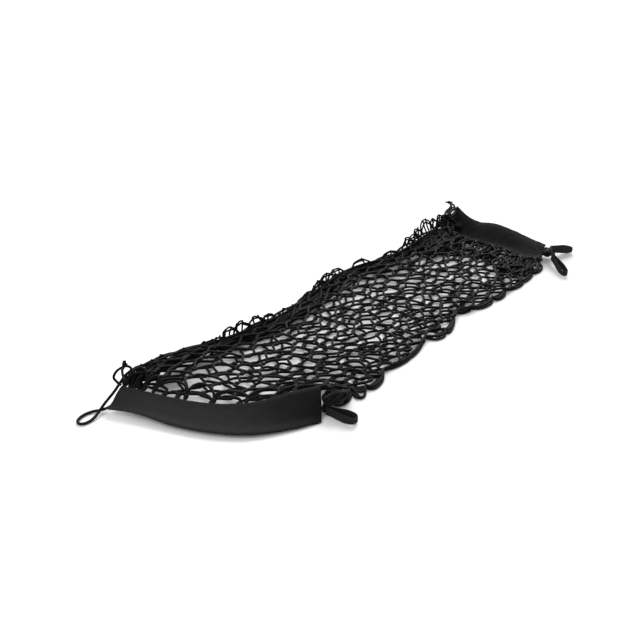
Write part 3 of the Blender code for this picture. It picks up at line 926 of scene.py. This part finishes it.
def panel_side(rows, along, across, side):
    """The outside of the folded strip: side -1 is its underside and +1 its top."""
    step = 0.004
    length = panel_point(rows, along + step, across) - panel_point(rows, along - step, across)
    width = panel_point(rows, along, across + step) - panel_point(rows, along, across - step)
    up = width.cross(length).normalized()
    if up.z < 0:
        up = -up
    swell = smooth((across - 0.72) / 0.28)
    thick = PANEL + (LIP - PANEL) * swell
    rounded_edge = sqrt(1.0 - (1.0 - min(across / 0.03, 1.0)) ** 2)
    flat_ends = 0.7 + 0.3 * smooth(min(along, 1.0 - along) / 0.02)
    place = Vector((along * 16.0, across * 3.0, 7.0 if rows is NEAR_PANEL else 3.0))
    pucker = noise.noise(place * 1.3) * 0.0006 + noise.noise(place * 4.1) * 0.00025
    pucker += 0.0005 * swell * noise.noise(Vector((along * 60.0, 0.0, 5.0)))
    middle = panel_point(rows, along, across) + up * (PANEL / 2 + pucker)
    return middle + up * (side * thick / 2 * rounded_edge * flat_ends), up


def panel(name, node, rows, steps=220, bands=26):
    """A strip folded along its outer edge, hollow between its plies."""
    shares = [(band / bands) ** 1.4 for band in range(bands + 1)]
    walk = [(share, -1) for share in reversed(shares)] + [(share, 1) for share in shares[1:]]
    rings = []
    for step in range(steps + 1):
        outside, inside = [], []
        for share, side in walk:
            outside.append(panel_side(rows, step / steps, share, side)[0])
            spot, up = panel_side(rows, step / steps, max(share, 0.02), side)
            inside.append(spot - up * (side * PLY))
        rings.append(outside + inside[::-1])
        for spot in rings[-1]:
            spot.z = max(spot.z, FLOOR_GAP)
    shape = Shape()
    shape.loft(rings)
    look = NEAR_FABRIC_PAINTED_LIGHT_LOOK if rows is NEAR_PANEL else FAR_FABRIC_PAINTED_SHADE_LOOK
    cloth = shape.made(name, look, "panel_fabric", node)
    seams = panel_stitching(name + "_stitches", rows)


def stitch_line(shape, path, length=0.0026, gap=0.0009):
    """Stitches along a path, each a short thread that dips at both ends."""
    run, marks = 0.0, []
    for a, b in zip(path, path[1:]):
        span = (b - a).length
        while len(marks) * (length + gap) < run + span:
            marks.append(a + (b - a) * ((len(marks) * (length + gap) - run) / span))
        run += span
    arch = UP * (THREAD * 0.35)
    for start, after in zip(marks, marks[1:]):
        way = (after - start) * (length / (length + gap))
        path = [start, start + way * 0.3 + arch, start + way * 0.7 + arch, start + way]
        shape.tube(path, [THREAD * 0.3, THREAD / 2, THREAD / 2, THREAD * 0.3], sides=6)


def panel_stitching(name, rows):
    """Three seams along a panel and one beside each of its ends, on its top."""
    shape = Shape()
    start, end = END_SEAMS
    for across in LONG_SEAMS:
        shares = [start + (end - start) * step / 300 for step in range(301)]
        stitch_line(shape, [panel_side(rows, share, across, 1)[0] for share in shares])
    for along in END_SEAMS:
        shares = [LONG_SEAMS[0] + 0.9 * step / 60 for step in range(61)]
        stitch_line(shape, [panel_side(rows, along, share, 1)[0] for share in shares])
    return shape.made(name, THREAD_LOOK, "panel_fabric")


# ---------------------------------------------------------------- cord, loops, knots


def on_upper(along):
    """The cord's middle on the gathered edge of the upper layer, in the tables' frame."""
    plan = net_plan(along, MOUTH_CORD_ACROSS)
    height = upper_height(along, MOUTH_CORD_ACROSS) + STRAND_DEPTH + CORD_REST + CORD / 2
    return CordPoint(plan.x, plan.y, height)


def beside_lower(along):
    """The cord's middle on the floor, beside the lower layer."""
    plan = net_plan(along, FLOOR_CORD_ACROSS)
    return CordPoint(plan.x, plan.y, max(lower_height(along, 1.0), 0.0) + CORD / 2)


def rim_cord():
    """One cord: along the upper layer, round the hanging loop and back beside the lower."""
    start, end = CORD_SHARES
    shares = [start + (end - start) * step / CORD_STEPS for step in range(CORD_STEPS + 1)]
    corner = [step / CORNER_STEPS for step in range(CORNER_STEPS + 1)]
    route = [*FAR_CORNER_UPPER, *(on_upper(along) for along in reversed(shares))]
    route += [row_at(NEAR_CORNER_CORD, share) for share in corner]
    route += [*(beside_lower(along) for along in shares), *FAR_CORNER_LOWER]
    route = [FAR_KNOT_UPPER, *route, FAR_KNOT_LOWER]
    path = [spot - ORIGIN for spot in spline(route, 5)]
    shape = Shape()
    shape.tube(path, CORD / 2, sides=14)
    piece = shape.made("elastic_cord_rim", CORD_LOOK, "elastic_cord", "rim_cord")


def loop_outline(straight, round_root, round_tip):
    """A tape loop from above, about its own middle line."""
    outline = [(round_root + round_root * cos(a), round_root * sin(a))
               for a in (pi * (1.25 - 0.5 * step / 4) for step in range(5))]
    side = [(round_root + straight * s, round_root + (round_tip - round_root) * smooth(s * 1.2))
            for s in (step / 12 for step in range(12))]
    tip = [(round_root + straight + round_tip * sin(a), round_tip * cos(a))
           for a in (pi * step / 20 for step in range(21))]
    return outline + side + tip + [(reach, -half) for reach, half in reversed(side)]


def tape_loop(row, sides=20):
    """A closed loop of tape on edge, crushed together at its tip."""
    root = Vector((row.root_x, row.root_y, row.root_z))
    tip = Vector((row.tip_x, row.tip_y, row.tip_z))
    reach = Vector((tip.x - root.x, tip.y - root.y, 0.0))
    forward = reach.normalized()
    sideways = Vector((-forward.y, forward.x, 0.0))
    round_tip = (row.eye + TAPE) / 2
    path = []
    for ahead, aside in loop_outline(reach.length - round_tip - TAPE, TAPE, round_tip):
        low = root.lerp(tip, ahead / reach.length).z
        spot = Vector((root.x, root.y, low)) + forward * ahead + sideways * aside
        path.append(spot - ORIGIN)
    rings = []
    for i, spot in enumerate(path):
        way = (path[(i + 1) % len(path)] - path[i - 1]).normalized()
        out = Vector((way.y, -way.x, 0.0)).normalized()
        narrow = 1.0 - TIP_NARROWS * smooth((spot - path[0]).dot(forward) / reach.length * 3 - 2)
        ring = []
        for step in range(sides):
            c, s = cos(2 * pi * step / sides), sin(2 * pi * step / sides)
            wide = copysign(abs(s) ** 0.5, s) * TAPE_WIDTH / 2 * narrow
            thin = copysign(abs(c) ** 0.7, c) * TAPE / 2
            ring.append(spot + out * thin + UP * (TAPE_WIDTH / 2 + wide))
        rings.append(ring)
    shape = Shape()
    shape.loft(rings, closed=True)
    shape.made("tape_" + row.name, TAPE_LOOK, "loop_tape", row.name)


def bundle(row, seed, count=26):
    """Strands of mesh gathered in a ragged spindle."""
    chance = random.Random(seed)
    shape = Shape()
    turn = radians(row.turn)
    way = Vector((cos(turn), sin(turn), 0.0))
    side = Vector((-way.y, way.x, 0.0))
    centre = Vector((row.x, row.y, row.z)) - ORIGIN
    for number in range(count):
        angle = 2 * pi * number / count + chance.uniform(-0.1, 0.1)
        size = row.thick * (0.20 if number % 3 == 0 else 0.38) * chance.uniform(0.85, 1.15)
        twist = chance.uniform(-1.4, 1.4)
        path = []
        for step in range(13):
            share = step / 6 - 1.0
            swell = (0.45 + 0.55 * cos(share * 1.35)) * size
            around = side * cos(angle + share * twist) + UP * sin(angle + share * twist)
            path.append(centre + way * (share * row.length / 2) + around * swell)
        shape.strand(path)
    core = [centre + way * (share * row.length * 0.4) for share in (-1, -0.5, 0, 0.5, 1)]
    shape.tube(core, [row.thick * size for size in BUNDLE_CORE])
    shape.made("gathered_" + row.name, STRAND_LOOK, "mesh", row.name)


def overhand(centre, axis, size):
    """The path of an overhand knot, pulled up round its centre."""
    side = axis.orthogonal().normalized()
    other = axis.cross(side)
    path = []
    for step in range(61):
        t = radians(-150 + 300 * step / 60) + pi
        x = sin(t) + 2 * sin(2 * t)
        y = cos(t) - 2 * cos(2 * t)
        path.append(centre + side * (x * size / 6) + other * (y * size / 6)
                    - axis * (sin(3 * t) * size / 5))
    return path


def near_left_knot():
    """A small knot on top, its tail, and the three strands that run down from it."""
    shape = Shape()
    top = Vector(NEAR_KNOT) - ORIGIN
    shape.tube(overhand(top, UP, NEAR_KNOT_SIZE), KNOT_END_RADIUS)
    shape.tube([top + Vector(step) for step in NEAR_KNOT_TAIL], NEAR_KNOT_TAIL_RADII)
    for spots in NEAR_KNOT_ENDS:
        shape.strand([spot - ORIGIN for spot in spline(spots, 8)], NEAR_KNOT_STRAND)
    shape.made("tied_near_left", STRAND_LOOK, "mesh", "knot_near_left")


def far_left_knot():
    """A small knot on the far panel's raised corner, with three short tails."""
    shape = Shape()
    middle = Vector(FAR_KNOT) - ORIGIN
    axis = Vector(FAR_KNOT_AXIS).normalized()
    shape.tube(overhand(middle, axis, FAR_KNOT_SIZE), KNOT_END_RADIUS)
    for way in map(Vector, FAR_KNOT_TAILS):
        shape.tube([middle, middle + way / 2, middle + way], FAR_KNOT_TAIL_RADII)
    shape.made("tied_far_left", STRAND_LOOK, "mesh", "knot_far_left")


# ---------------------------------------------------------------- the studio


def studio():
    """The white floor and surroundings, the lamps and the camera."""
    scene = bpy.context.scene
    data = bpy.data.meshes.new("floor")
    corners = [(x * FLOOR_REACH, y * FLOOR_REACH, 0)
               for x, y in ((-1, -1), (1, -1), (1, 1), (-1, 1))]
    data.from_pydata(corners, [], [(0, 1, 2, 3)])
    floor = bpy.data.objects.new("floor", data)
    scene.collection.objects.link(floor)
    pale = bpy.data.materials.new("pale_floor")
    pale.use_nodes = True
    shader = pale.node_tree.nodes["Principled BSDF"]
    shader.inputs["Base Color"].default_value = FLOOR_COLOUR
    shader.inputs["Roughness"].default_value = 0.9
    shader.inputs["Specular IOR Level"].default_value = 0.0
    data.materials.append(pale)

    world = bpy.data.worlds.new("studio")
    world.use_nodes = True
    tree = world.node_tree
    tree.nodes["Background"].inputs["Color"].default_value = (1.0, 1.0, 1.0, 1.0)
    strength = tree.nodes.new("ShaderNodeMapRange")
    strength.inputs["To Min"].default_value = AMBIENT
    seen = tree.nodes.new("ShaderNodeLightPath").outputs["Is Camera Ray"]
    tree.links.new(seen, strength.inputs["Value"])
    tree.links.new(strength.outputs["Result"], tree.nodes["Background"].inputs["Strength"])
    scene.world = world

    for row in LAMPS:
        lamp = bpy.data.lights.new(row.name, row.kind)
        lamp.energy = row.power
        if row.kind == "SUN":
            lamp.angle = radians(SUN_ANGLE)
        else:
            lamp.shape = "SQUARE"
            lamp.size = SOFTBOX_SIZE
        light = bpy.data.objects.new(row.name, lamp)
        light.location = (row.x, row.y, row.z)
        light.rotation_euler = (-light.location).to_track_quat("-Z", "Y").to_euler()
        scene.collection.objects.link(light)

    lens = bpy.data.cameras.new("camera")
    lens.lens, lens.sensor_width = LENS, SENSOR
    camera = bpy.data.objects.new("camera", lens)
    camera.location = CAMERA_SPOT
    camera.rotation_euler = (radians(CAMERA_PITCH), 0.0, radians(CAMERA_HEADING))
    scene.collection.objects.link(camera)
    scene.camera = camera
    scene.view_settings.view_transform = "Standard"


studio()
mesh_layer("mesh_lower_layer", "net_lower", 0.0, 3, FLOOR_CRUMPLE)
mesh_layer("mesh_upper_layer", "net_upper", 1.0, 8, MOUTH_CRUMPLE)
panel("fabric_panel_near", "panel_near", NEAR_PANEL)
panel("fabric_panel_far", "panel_far", FAR_PANEL)
rim_cord()
for loop_row in TAPE_LOOPS:
    tape_loop(loop_row)
for number, bundle_row in enumerate(BUNDLES):
    bundle(bundle_row, number)
near_left_knot()
far_left_knot()
